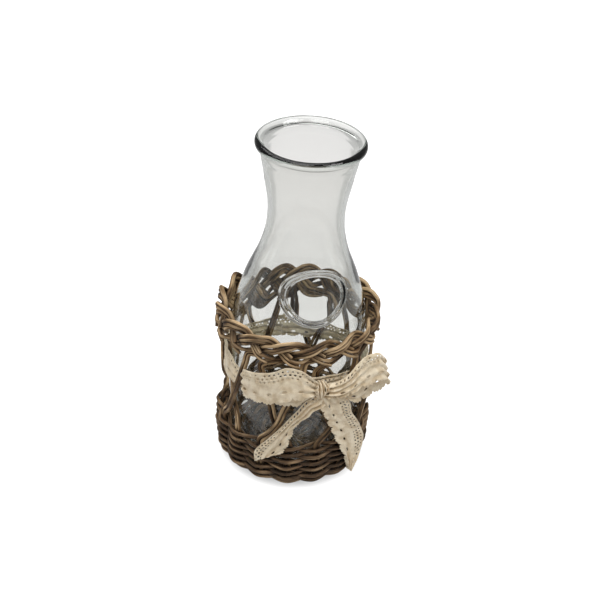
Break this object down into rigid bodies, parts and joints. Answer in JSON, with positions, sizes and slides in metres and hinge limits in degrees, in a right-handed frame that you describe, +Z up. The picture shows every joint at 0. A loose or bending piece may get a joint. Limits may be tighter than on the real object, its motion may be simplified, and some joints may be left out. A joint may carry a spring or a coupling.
{
  "type": "carafe",
  "caption": "Glass carafe with a waisted neck and rolled rim, standing in a woven rod basket with an open lattice, a plaited border and a lace ribbon tied in a bow.",
  "frame": {"origin": "on the floor under the middle of the basket's base, on the axis of the carafe", "axes": "+Z up along the axis of the carafe; -Y is the front, where the round seal on the glass faces"},
  "size_m": [0.116, 0.1261, 0.2565],
  "materials": {
    "clear_glass": "clear polished glass",
    "wicker_rod": "weathered grey-brown willow rods, matt",
    "cotton_lace": "cream cotton lace, matt"
  },
  "bodies": {
    "basket": {"base_stick_1": "wicker_rod", "base_stick_2": "wicker_rod", "base_stick_3": "wicker_rod", "base_stick_4": "wicker_rod", "base_stick_5": "wicker_rod", "base_stick_6": "wicker_rod", "base_stick_7": "wicker_rod", "base_stick_8": "wicker_rod", "weaver_a": "wicker_rod", "weaver_b": "wicker_rod", "stake_01a": "wicker_rod", "stake_01b": "wicker_rod", "stake_02a": "wicker_rod", "stake_02b": "wicker_rod", "stake_03a": "wicker_rod", "stake_03b": "wicker_rod", "stake_04a": "wicker_rod", "stake_04b": "wicker_rod", "stake_05a": "wicker_rod", "stake_05b": "wicker_rod", "stake_06a": "wicker_rod", "stake_06b": "wicker_rod", "stake_07a": "wicker_rod", "stake_07b": "wicker_rod", "stake_08a": "wicker_rod", "stake_08b": "wicker_rod", "stake_09a": "wicker_rod", "stake_09b": "wicker_rod", "stake_10a": "wicker_rod", "stake_10b": "wicker_rod", "stake_11a": "wicker_rod", "stake_11b": "wicker_rod", "stake_12a": "wicker_rod", "stake_12b": "wicker_rod", "stake_13a": "wicker_rod", "stake_13b": "wicker_rod", "stake_14a": "wicker_rod", "stake_14b": "wicker_rod", "stake_15a": "wicker_rod", "stake_15b": "wicker_rod", "stake_16a": "wicker_rod", "stake_16b": "wicker_rod", "ribbon_tie": "cotton_lace", "bow_knot": "cotton_lace", "bow_loop_left": "cotton_lace", "bow_loop_right": "cotton_lace", "bow_tail_left": "cotton_lace", "bow_tail_right": "cotton_lace"},
    "carafe": {"glass_carafe": "clear_glass"}
  },
  "joints": [
    {"name": "carafe_lift", "type": "slide", "parent": "basket", "child": "carafe", "axis": [0, 0, 1], "range_m": [0, 0.13]}
  ]
}
